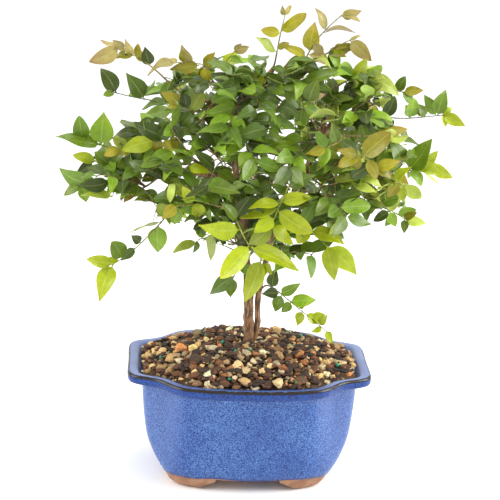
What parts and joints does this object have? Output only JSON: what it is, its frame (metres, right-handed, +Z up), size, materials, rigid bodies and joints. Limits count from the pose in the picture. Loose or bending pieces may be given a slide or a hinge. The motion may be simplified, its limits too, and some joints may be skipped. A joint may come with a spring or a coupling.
{
  "type": "jaboticaba bonsai in a glazed pot",
  "caption": "Young jaboticaba bonsai with forked trunk and wide airy crown of pointed leaves, in gravelled soil in a blue glazed footed pot.",
  "frame": {"origin": "middle of the whole plant's footprint, at the level of the soles of the pot's feet", "axes": "+Z up along the tree, +X to the right along the pot's long side, -Y towards the front of the pot"},
  "size_m": [0.3372, 0.2234, 0.4056],
  "materials": {
    "glaze": "mottled mid-blue gloss glaze, feet unglazed terracotta",
    "gravel": "matt mixed gravel, bark chips and soil",
    "bark": "matt thin bark",
    "foliage": "satin leaves, green to yellow-green with bronze young ones"
  },
  "bodies": {
    "root": {"pot": "glaze", "soil": "gravel", "wood": "bark", "spray_01": "foliage", "spray_02": "foliage", "spray_03": "foliage", "spray_04": "foliage", "spray_05": "foliage", "spray_06": "foliage", "spray_07": "foliage", "spray_08": "foliage", "spray_09": "foliage", "spray_10": "foliage", "spray_11": "foliage", "spray_12": "foliage", "spray_13": "foliage", "spray_14": "foliage", "spray_15": "foliage", "spray_16": "foliage", "spray_17": "foliage", "spray_18": "foliage", "spray_19": "foliage", "spray_20": "foliage", "spray_21": "foliage", "spray_22": "foliage", "spray_23": "foliage", "spray_24": "foliage", "spray_25": "foliage", "spray_26": "foliage", "spray_27": "foliage", "spray_28": "foliage", "spray_29": "foliage", "spray_30": "foliage", "spray_31": "foliage", "spray_32": "foliage", "spray_33": "foliage", "spray_34": "foliage", "spray_35": "foliage", "spray_36": "foliage", "spray_37": "foliage", "spray_38": "foliage", "spray_39": "foliage", "spray_40": "foliage", "spray_41": "foliage", "spray_42": "foliage", "spray_43": "foliage", "spray_44": "foliage", "spray_45": "foliage", "spray_46": "foliage", "spray_47": "foliage", "spray_48": "foliage", "spray_49": "foliage", "spray_50": "foliage", "spray_51": "foliage", "spray_52": "foliage", "spray_53": "foliage", "spray_54": "foliage", "spray_55": "foliage", "spray_56": "foliage", "spray_57": "foliage"}
  },
  "joints": []
}
